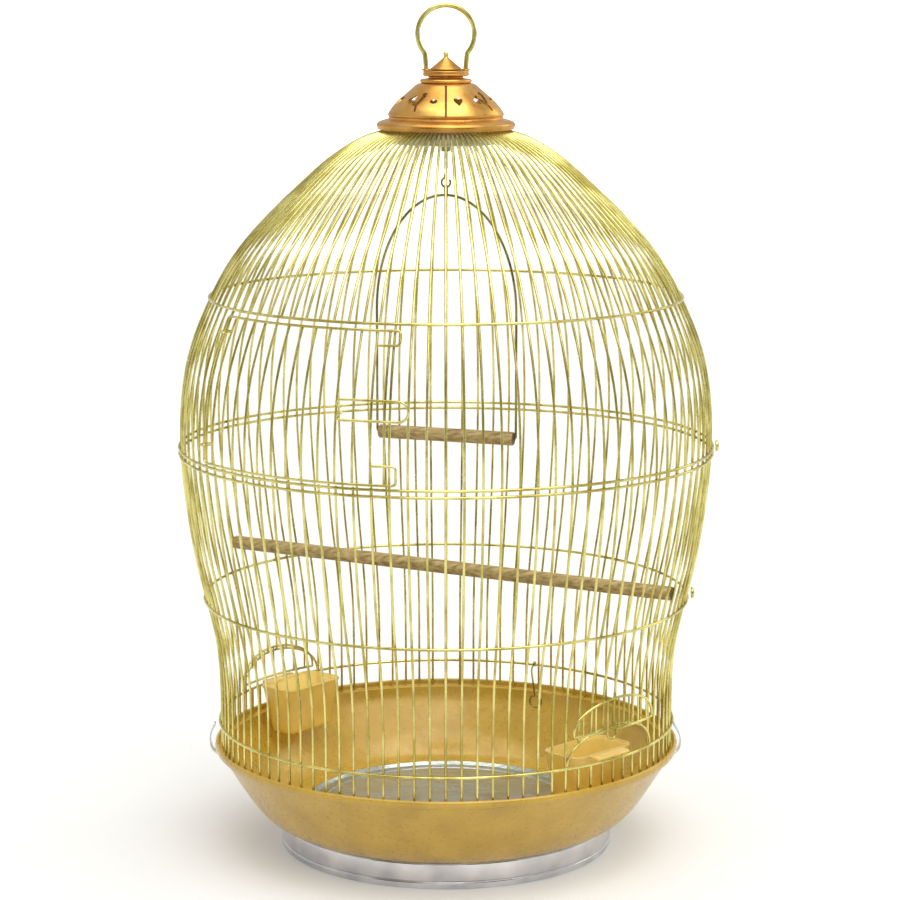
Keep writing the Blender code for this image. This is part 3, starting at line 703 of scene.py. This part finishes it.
def make_perch():
    """The long dowel, with a slot for a wire sawn in each end."""
    left, right = [on_shell(place, height, -WIRE_R) for place, height in zip(PERCH_WIRES, PERCH_ENDS)]
    length = (right - left).length
    direction = (right - left).normalized()
    edge = [(0.0, PERCH_R - 0.7), (0.25, PERCH_R - 0.25), (0.8, PERCH_R)]
    middle = [(length * i / 12, PERCH_R) for i in range(1, 12)]
    profile = edge + middle + [(length - reach, radius) for reach, radius in reversed(edge)]
    rings = turned_rod(left, right, profile)
    perch = mesh_piece("long_perch_dowel", skin(rings), "perch_wood", "cage", ["long_perch"])
    darken_ends(perch, direction)
    side = direction.cross(Vector((0, 0, 1))).normalized()
    half_slot, depth, clear = 1.5, 2.8, 9.0
    for end, inward in ((left, direction), (right, -direction)):
        rings = []
        for rise in (-clear, clear):
            base = end + Vector((0, 0, rise)) - inward * 0.2 * rise  # leans as the wire does
            corners = ((half_slot, depth), (-half_slot, depth), (-half_slot, -clear), (half_slot, -clear))
            rings.append([base + side * u + inward * v for u, v in corners])
        cut_out(perch, skin(rings))


def turned(x, y, z):
    """Turns a point about the upright axis by the angle at which the swing hangs."""
    return Matrix.Rotation(math.radians(SWING_TURN), 3, "Z") @ Vector((x, y, z))


def make_hanger():
    """A bent stem with an eye, its nut and a washer under the top plate."""
    low, high = box_mm("swing_hanger")
    eye_z = low.z + STEM_R + EYE_R
    outline = [(0, high.z), (0, eye_z + 10), (-0.4, eye_z + 6.5), *arc((0, eye_z), EYE_R, 115, 400, 22)]
    path = [turned(x, 0, z) for x, z in outline]
    # painted shade: the stem and its shank take the darker copy of the brass
    wires("swing_hanger_wire", [path], STEM_R, "cage", ["swing_hanger"], finish="shaded_inner_brass")
    shank = [(0, 0, high.z - 1.0), (0, 0, eye_z + 10)]
    wires("swing_hanger_shank", [shank], SHANK_R, "cage", finish="shaded_inner_brass")
    low, high = box_mm("hanger_nut")
    across = (high.x - low.x) / 2
    washer_z = high.z - 1.7
    nut = []
    for inset, height in ((0.5, low.z), (0.0, low.z + 0.6), (0.0, washer_z - 0.7), (0.5, washer_z - 0.1)):
        nut.append([around(60.0 * i + SWING_TURN, across - inset, height) for i in range(6)])
    # painted shade: the nut and washer take the darker copy of the brass
    mesh_piece("hanger_nut_body", skin(nut), "plate_metal", "cage", ["hanger_nut"], "shaded_inner_brass")
    washer = softened([(0, washer_z), (6.0, washer_z), (6.0, washer_z + 1.3), (0, washer_z + 1.3)], 0.3, 3)
    mesh_piece("hanger_washer", revolved(washer, 48), "plate_metal", "cage", finish="shaded_inner_brass")


def make_swing():
    """The link, the arch of wire and the turned bar."""
    low, high = box_mm("swing_link")
    half = 2.6
    top, bottom = high.z - THIN_WIRE_R - half, low.z + THIN_WIRE_R + half
    outline = arc((0, top), half, 0, 180, 12) + arc((0, bottom), half, 180, 360, 12)
    path = [turned(0, y, z) for y, z in outline]
    # painted shade: the link takes the darker copy of the brass
    wires("swing_link_wire", [path], THIN_WIRE_R, "swing_link", ["swing_link"], closed=True,
          finish="shaded_inner_brass")

    low, high = box_mm("swing_wire")
    bar_z, rise = low.z + WIRE_R, high.z - WIRE_R - SWING_SPRING_Z
    tip = SWING_HALF - 6.0
    arch = [(SWING_HALF * u, SWING_SPRING_Z + rise * v) for u, v in arc((0, 0), 1.0, 0, 180, 40)]
    outline = [(tip, bar_z), (SWING_HALF, bar_z), *arch, (-SWING_HALF, bar_z), (-tip, bar_z)]
    path = [turned(x, 0, z) for x, z in softened(outline, 2.0, 5)]
    # painted shade: the swing's arch takes the darker copy of the brass
    wires("swing_arch", [path], WIRE_R, "swing", ["swing_wire"], finish="shaded_inner_brass")

    end = SWING_HALF - WIRE_R - 0.6
    edge = [(0.0, 1.4), (0.0, 3.6), (0.3, 4.5), (1.0, PERCH_R)]
    profile = edge + [(2 * end * i / 8, PERCH_R) for i in range(1, 8)]
    profile += [(2 * end - reach, radius) for reach, radius in reversed(edge)]
    rings = turned_rod(turned(-end, 0, bar_z), turned(end, 0, bar_z), profile)
    bar = mesh_piece("swing_bar_dowel", skin(rings), "perch_wood", "swing", ["swing_bar"])
    darken_ends(bar, turned(1, 0, 0))


def make_back_eye():
    """A hook over the base hoop that ends in a ring inside the cage."""
    lowest = box_mm("back_eye")[0].z
    hook_turn, eye_turn = wire_turn(BACK_HOOK), wire_turn(BACK_EYE)
    eye_r = 5.0
    hoop_z = middle_z("hoop_base")
    hoop = shell_radius(hoop_z) + HOOP_OUTSET
    eye_at, eye_z = hoop - BACK_EYE_SETBACK, lowest + THIN_WIRE_R + eye_r
    hook = arc((hoop, hoop_z), HOOP_R + THIN_WIRE_R + 0.3, -50, 180, 12)
    points = [around(hook_turn, radius, height) for radius, height in hook]
    points.append(around(hook_turn, hoop - 6.0, hoop_z - 3))
    points.append(around((hook_turn + eye_turn) / 2, eye_at + 2.0, hoop_z - 9))
    side = around(eye_turn + 90, 1.0, 0.0)
    centre = around(eye_turn, eye_at, eye_z)
    points += [centre + side * u + Vector((0, 0, v)) for u, v in arc((0, 0), eye_r, 80, -265, 24)]
    # painted shade: the eye's wire takes the darker copy of the brass
    wires("back_eye_wire", [smooth(points, 3)], THIN_WIRE_R, "cage", ["back_eye"], finish="shaded_inner_brass")


# --- Top ----------------------------------------------------------------------------------------

def heart(width, height):
    """A heart's outline, as (sideways, up) points."""
    points = []
    for i in range(28):
        t = 2 * math.pi * i / 28
        u = math.sin(t) ** 3
        v = (13 * math.cos(t) - 5 * math.cos(2 * t) - 2 * math.cos(3 * t) - math.cos(4 * t)) / 17
        points.append((width * u, height * v))
    return points


def leaned(outline, angle):
    """The same outline, turned by an angle about its origin."""
    turn = Matrix.Rotation(math.radians(angle), 2)
    return [turn @ Vector(point) for point in outline]


def leaf(centre, half_length, half_width, angle):
    """A long oval's outline, at an angle from the horizontal."""
    oval = [(half_length * u, half_width * v) for u, v in arc((0, 0), 1.0, 0, 360, 20)[:-1]]
    return [point + Vector(centre) for point in leaned(oval, angle)]


def tulip_parts(size):
    """A stem, and on each side an arm with a curl at its top."""
    stem = 0.14 * size
    parts = [[(-stem, -1.2 * size), (stem, -1.2 * size), (stem, -0.3 * size), (-stem, -0.3 * size)]]
    for side in (-1, 1):
        parts.append(leaf((side * 0.42 * size, 0.0), 0.72 * size, 0.25 * size, side * 50))
        parts.append(leaf((side * 0.60 * size, 0.60 * size), 0.30 * size, 0.17 * size, side * -10))
    return parts


def crown_cutter(turn, outline):
    """A prism that cuts an outline of (sideways, up) points through the crown's wall."""
    outward, side = around(turn, 1.0, 0.0), around(turn + 90, 1.0, 0.0)
    rings = []
    for reach in (20.0, 60.0):
        rings.append([outward * reach + side * u + Vector((0, 0, CROWN_CUT_Z + v)) for u, v in outline])
    return skin(rings)


def cut_seam(crown, turn, outside):
    """Sinks a narrow groove into the crown, one stretch of its outside at a time."""
    depth, beyond = 1.4, 60.0
    side = around(turn + 90, 1.0, 0.0)
    for (high_r, high), (low_r, low) in zip(outside, outside[1:]):
        outline = [(high_r - depth, high), (low_r - depth, low), (beyond, low), (beyond, high)]
        rings = []
        for across in (-SEAM_HALF, SEAM_HALF):
            rings.append([around(turn, radius, height) + side * across for radius, height in outline])
        cut_out(crown, skin(rings))


def darken_seam(crown, turn, highest, lowest):
    """Gives the faces in a seam's groove the second material, a painted shade for the groove."""
    outward, side = around(turn, 1.0, 0.0), around(turn + 90, 1.0, 0.0)
    for face in crown.data.polygons:
        centre = face.center / MM
        in_groove = abs(centre.dot(side)) < SEAM_HALF + 0.01 and centre.dot(outward) > 0
        if in_groove and lowest < centre.z < highest:
            face.material_index = 1


def make_crown():
    """The bell of four pressed panels: dome, groove, flared rim, and the shapes cut through it."""
    low, high = box_mm("crown")
    rim, top = high.x, high.z
    dome = [(19.4, top), (21.6, top - 0.9), (28.4, top - 7.0), (34.4, top - 12.0), (39.2, top - 17.4)]
    dome += [(42.2, top - 22.2)]
    flare = [(40.8, top - 23.8), (41.4, top - 25.2), (45.6, top - 26.2), (48.8, top - 27.4)]
    flare += [(rim, top - 29.2), (rim - 0.6, top - 31.0), (rim - 1.0, low.z)]
    inside = [(rim - 2.4, low.z), (rim - 2.2, top - 29.0), (44.6, top - 27.8), (39.6, top - 25.6)]
    inside += [(39.4, top - 22.8), (37.6, top - 18.4), (33.0, top - 13.2), (27.2, top - 8.4)]
    inside += [(20.4, top - 2.1)]
    skin_points = softened(dome + flare, 1.2, 3) + softened(inside, 0.6, 2)
    profile = [Vector((0, top)), *skin_points, Vector((0, top - 2.1))]
    crown = mesh_piece("crown_bell", revolved(profile), "crown_metal", "cage", ["crown"])
    middle = (0, 0)
    cuts = (
        (-37.0, [leaned(part, 18) for part in tulip_parts(6.2)]),
        (-15.0, [leaf(middle, 2.8, 1.5, 0)]),
        (15.2, [heart(3.3, 3.5)]),
        (42.0, [leaf(middle, 2.9, 2.0, -20)]),
    )
    for panel in range(CROWN_PANELS):
        start = 360.0 * panel / CROWN_PANELS
        for turn, outlines in cuts:
            for outline in outlines:
                cut_out(crown, crown_cutter(start + turn, outline))
        cut_seam(crown, start, dome[1:])
    # painted shade: the seam grooves get the dark finish in place of their shadow
    crown.data.materials.append(MATERIALS["crown_seam_shade_paint"])
    for panel in range(CROWN_PANELS):
        darken_seam(crown, 360.0 * panel / CROWN_PANELS, dome[1][1], dome[-1][1])


def make_top_plate():
    """An inverted dish with a rolled edge, under the wires' ends."""
    low, high = box_mm("top_plate")
    outer, top, bottom = high.x, high.z, low.z
    profile = [(0, top), (outer - 1.0, top), (outer, top - 1.0), (outer, bottom + 1.4)]
    profile += [(outer + 0.8, bottom + 0.7), (outer, bottom), (outer - 1.4, bottom)]
    profile += [(outer - 1.4, top - 2.0), (outer - 3.0, top - 1.2), (0, top - 1.2)]
    mesh_piece("top_plate_dish", revolved(softened(profile, 0.6, 3)), "plate_metal", "cage", ["top_plate"])


def make_collars():
    low, high = box_mm("collar_lower")
    outer, bottom, top = high.x, low.z, high.z
    profile = [(0, bottom), (outer - 1.0, bottom), (outer, bottom + 0.9), (outer, bottom + 2.0)]
    profile += [(outer - 1.0, bottom + 2.9), (14.0, bottom + 3.1), (12.4, bottom + 3.6)]
    profile += [(12.6, top), (0, top)]
    disc = revolved(softened(profile, 0.5, 3))
    mesh_piece("collar_lower_disc", disc, "crown_metal", "cage", ["collar_lower"])
    low, high = box_mm("collar_upper")
    outer, bottom, top = high.x, low.z, high.z
    profile = [(0, bottom), (outer - 1.2, bottom), (outer, bottom + 0.8), (outer, bottom + 1.6)]
    profile += [(outer - 0.7, bottom + 1.9), (outer - 0.3, bottom + 2.4), (outer - 0.5, top - 0.4)]
    profile += [(outer - 1.2, top), (0, top)]
    disc = revolved(softened(profile, 0.3, 3))
    mesh_piece("collar_upper_disc", disc, "crown_metal", "hanger", ["collar_upper"])


def make_finial():
    """A low cone with a small ball on its point."""
    low, high = box_mm("finial")
    outer, bottom = high.x, low.z
    profile = [(0, bottom), (outer - 0.4, bottom), (outer, bottom + 0.7), (outer - 0.5, bottom + 1.3)]
    profile += [(7.2, bottom + 4.2), (3.7, bottom + 7.2), (1.7, bottom + 9.0)]
    profile += [(1.5, bottom + 9.6), (0, bottom + 9.8)]
    cone = revolved(softened(profile, 0.5, 3), 72)
    mesh_piece("finial_cone", cone, "crown_metal", "hanger", ["finial"])
    ball_r = (high.z - bottom - 9.2) / 2
    ball = [(max(0.0, u), v) for u, v in arc((0, high.z - ball_r), ball_r, -90, 90, 12)]
    ball[0], ball[-1] = (0, ball[0][1]), (0, ball[-1][1])
    mesh_piece("finial_ball", revolved(ball, 32), "brass_wire", "hanger")


def make_hanging_ring():
    """An omega of thick wire, with a small washer under each of its feet."""
    low, high = box_mm("hanging_ring")
    centre_z = high.z - RING_WIRE_R - RING_R
    half = [(RING_FEET, low.z), (RING_FEET + 0.1, low.z + 2.5)] + arc((0, centre_z), RING_R, -42, 90, 26)
    half = softened(half, 2.5, 5)
    outline = half + [Vector((-x, z)) for x, z in reversed(half[:-1])]
    path = [(x, 0, z) for x, z in outline]
    wires("hanging_ring_wire", [path], RING_WIRE_R, "hanger", ["hanging_ring"], roundness=6)
    for name, side in (("ring_collar_left", -1), ("ring_collar_right", 1)):
        rings = []
        for height, size in ((0.0, 2.9), (0.5, 3.1), (1.0, 2.9), (1.3, 2.2)):
            outline = arc((side * RING_FEET, 0), size, 0, 360, 28)[:-1]
            rings.append([(x, y, low.z - 0.3 + height) for x, y in outline])
        mesh_piece(name, skin(rings), "crown_metal", "hanger")


# --- Base ---------------------------------------------------------------------------------------

def make_tray():
    """The bowl, with a curved wall, a ledge for the wires and a rolled lip."""
    low, high = box_mm("tray_bowl")
    rim, top, base = high.x, high.z, low.z
    bottom = [(118.0, base + 3), (119.4, base + 2.6), (120.6, base + 0.2), (124.5, base)]
    wall = smooth([(124.5, base), (134.0, base + 4.9), (144.0, base + 15.2), (153.5, base + 29.2),
                   (162.6, base + 43.7), (167.8, base + 51.7)], 6)
    lip = softened([(168.2, top - 6.6), (rim - 0.9, top - 5.6), (rim, top - 3.6), (rim - 0.1, top - 1.2),
                    (rim - 1.2, top), (rim - 2.4, top - 0.1), (rim - 3.1, top - 1.4), (168.6, TRAY_LEDGE),
                    (163.6, TRAY_LEDGE), (162.9, TRAY_LEDGE - 4.4)], 0.9, 4)
    inside = smooth([(160.6, 65.0), (151.4, 51.0), (142.0, 37.2), (133.0, 28.2), (127.5, TRAY_FLOOR)], 6)
    floor = softened([(127.4, TRAY_FLOOR), (112.0, TRAY_FLOOR), (110.0, TRAY_FLOOR + 0.8),
                      (108.0, TRAY_FLOOR), (60.0, TRAY_FLOOR)], 0.8, 3)
    profile = [(0, base + 3), *bottom, *wall[1:], *lip, *inside, *floor, (0, TRAY_FLOOR)]
    mesh_piece("tray_shell", revolved(profile, 192), "tray_plastic", "base", ["tray_bowl"])


def make_floor_pan():
    low, high = box_mm("floor_pan")
    outer, bottom, top = high.x, low.z, high.z
    profile = [(0, bottom), (outer - 2.6, bottom), (outer, top - 0.4), (outer - 0.5, top)]
    profile += [(outer - 1.2, top - 0.3), (outer - 3.6, bottom + 1.1), (outer - 9.0, bottom + 1.1)]
    profile += [(outer - 10.0, bottom + 1.8)]
    profile += [(outer - 12.0, bottom + 1.8), (outer - 13.0, bottom + 1.1), (0, bottom + 1.1)]
    sheet = revolved(softened(profile, 0.5, 3))
    mesh_piece("floor_pan_sheet", sheet, "pan_metal", "floor_pan", ["floor_pan"])


def make_foot():
    """The ring under the tray, with a groove round its outside and an inward flange."""
    corner = box_mm("foot_ring")[1]
    outer, top = corner.x, corner.z
    profile = [(outer - 5.0, 0), (outer - 2.0, 0), (outer - 0.7, 0.8), (outer - 0.5, 4.6)]
    profile += [(outer - 1.2, 5.2), (outer - 1.2, 5.8), (outer - 0.4, 6.4), (outer, top - 1.6)]
    profile += [(outer - 0.9, top), (outer - 12.5, top), (outer - 12.5, top - 2.2)]
    profile += [(outer - 4.2, top - 2.2), (outer - 5.0, 3.0)]
    bm = revolved(softened(profile, 0.6, 3, closed=True), 192, ring=True)
    mesh_piece("foot_ring_shell", bm, "foot_plastic", "base", ["foot_ring"])


def make_rim_clips():
    """Springy strips that lean on the wires, thicker where they turn under the tray's lip."""
    pivot = Vector(RIM_CLIP_PIVOT)
    for name, swing in RIM_CLIP_SWINGS.items():
        low, high = box_mm(name)
        side = 1 if high.x > pivot.x else -1
        half = (high.y - low.y) / 2
        swung = Matrix.Rotation(math.radians(-swing), 2)
        spine = smooth([(169.7, 65.8), (173.4, 69.4), (174.7, 76.0), (173.0, 82.8), (169.4, 88.9)], 7)
        spine = [pivot + swung @ (point - pivot) for point in spine]
        rings = []
        for i, point in enumerate(spine):
            ahead = spine[min(i + 1, len(spine) - 1)] - spine[max(i - 1, 0)]
            across = Vector((ahead.y, -ahead.x)).normalized()
            part = i / (len(spine) - 1)
            thick = 0.6 + 0.2 * math.cos(2 * math.pi * part)
            width = half - 0.9 * (2 * part - 1) ** 4
            rings.append([
                (side * (point.x + across.x * v), u, point.y + across.y * v)
                for u, v in rounded_section(width, thick)
            ])
        mesh_piece(f"{name}_strip", skin(rings), "clip_plastic", name, [name])


def rounded_section(half_width, half_thick):
    """A flat strip's cross-section with round edges."""
    right = arc((half_width - half_thick, 0), half_thick, -90, 90, 6)
    return right + [(-u, -v) for u, v in right]


# --- Stage --------------------------------------------------------------------------------------

def add_stage(name, bm, material):
    mesh = bpy.data.meshes.new(name)
    bm.to_mesh(mesh)
    bm.free()
    mesh.materials.append(MATERIALS[material])
    obj = bpy.data.objects.new(name, mesh)
    bpy.context.scene.collection.objects.link(obj)
    return obj


def make_floor():
    tree, shader = start_material("stage_floor", 0.0, 0.7)
    color = ramp(tree, noise(tree, 3.0), [(0.3, (0.73, 0.73, 0.73)), (0.7, (0.76, 0.76, 0.76))])
    tree.links.new(color, shader.inputs["Base Color"])
    shader.inputs["Specular IOR Level"].default_value = 0.1
    bm = bmesh.new()
    bmesh.ops.create_grid(bm, x_segments=8, y_segments=8, size=6.0)
    add_stage("stage_floor", bm, "stage_floor")


def make_backdrop():
    """A white dome around the scene, which lights nothing: the world does."""
    shader = start_material("stage_backdrop", 0.0, 1.0)[1]
    shader.inputs["Emission Color"].default_value = (1.0, 1.0, 1.0, 1.0)
    shader.inputs["Emission Strength"].default_value = 1.0
    bm = bmesh.new()
    bmesh.ops.create_icosphere(bm, subdivisions=3, radius=8.0)
    dome = add_stage("stage_backdrop", bm, "stage_backdrop")
    dome.visible_diffuse = False
    dome.visible_glossy = False
    dome.visible_shadow = False


def make_dark_cards():
    """Two dark cards beside the camera, which only reflections see, to draw edges on the wires."""
    tree, shader = start_material("stage_card", 0.0, 0.9)
    color = ramp(tree, noise(tree, 3.0), [(0.3, (0.035, 0.03, 0.012)), (0.7, (0.05, 0.045, 0.02))])
    tree.links.new(color, shader.inputs["Base Color"])
    for name, x in (("stage_card_left", -1.15), ("stage_card_right", 1.05)):
        bm = bmesh.new()
        bmesh.ops.create_grid(bm, x_segments=2, y_segments=2, size=0.65)
        card = add_stage(name, bm, "stage_card")
        card.location = (x, -1.75, 0.75)
        card.rotation_euler = (STAGE_CENTRE - card.location).to_track_quat("Z", "Y").to_euler()
        card.visible_camera = False
        card.visible_diffuse = False
        card.visible_shadow = False


def add_light(name, kind, location, energy, color):
    """A light aimed at the middle of the cage."""
    light = bpy.data.lights.new(name, kind)
    light.energy = energy
    light.color = color
    obj = bpy.data.objects.new(name, light)
    obj.location = location
    obj.rotation_euler = (STAGE_CENTRE - Vector(location)).to_track_quat("-Z", "Y").to_euler()
    bpy.context.scene.collection.objects.link(obj)
    return light


def make_lights():
    """A white studio: an even sky, a soft key, a flat light from above and a warm one on the edges."""
    world = bpy.data.worlds.new("studio")
    world.use_nodes = True
    background = world.node_tree.nodes["Background"]
    background.inputs["Color"].default_value = (1.0, 1.0, 1.0, 1.0)
    background.inputs["Strength"].default_value = 0.62
    bpy.context.scene.world = world
    bpy.context.scene.view_settings.view_transform = "Standard"
    key = add_light("key_light", "SUN", (0.8, -1.3, 2.6), 1.2, (1.0, 0.99, 0.96))
    key.angle = math.radians(55)
    top = add_light("top_light", "SUN", (0.0, -0.4, 2.8), 1.7, (1.0, 0.99, 0.96))
    top.angle = math.radians(60)
    top.use_shadow = False  # it also reaches the tray's floor, under the crown and the wires
    edge = add_light("edge_light", "AREA", (1.5, 1.0, 1.2), 4.0, (1.0, 1.0, 0.62))
    edge.size = 0.8


def make_camera():
    """Two metres in front of the cage, a little above it and looking down."""
    data = bpy.data.cameras.new("camera")
    data.sensor_width = 36.0
    data.lens = CAMERA_LENS
    camera = bpy.data.objects.new("camera", data)
    camera.location = CAMERA_PLACE
    camera.rotation_euler = (math.radians(90.0 - CAMERA_TILT), 0.0, 0.0)
    bpy.context.scene.collection.objects.link(camera)
    bpy.context.scene.camera = camera


# --- Assembly -----------------------------------------------------------------------------------

make_camera()
make_lights()
make_materials()
make_shell()
make_hoops()
make_hoop_clips()
make_door()
make_door_hinges()
make_door_latch()
make_feeder_openings()
make_feeder_doors()
make_feeder_cups()
make_perch()
make_hanger()
make_swing()
make_back_eye()
make_crown()
make_top_plate()
make_collars()
make_finial()
make_hanging_ring()
make_tray()
make_floor_pan()
make_foot()
make_rim_clips()
make_floor()
make_backdrop()
make_dark_cards()

bpy.context.view_layer.update()
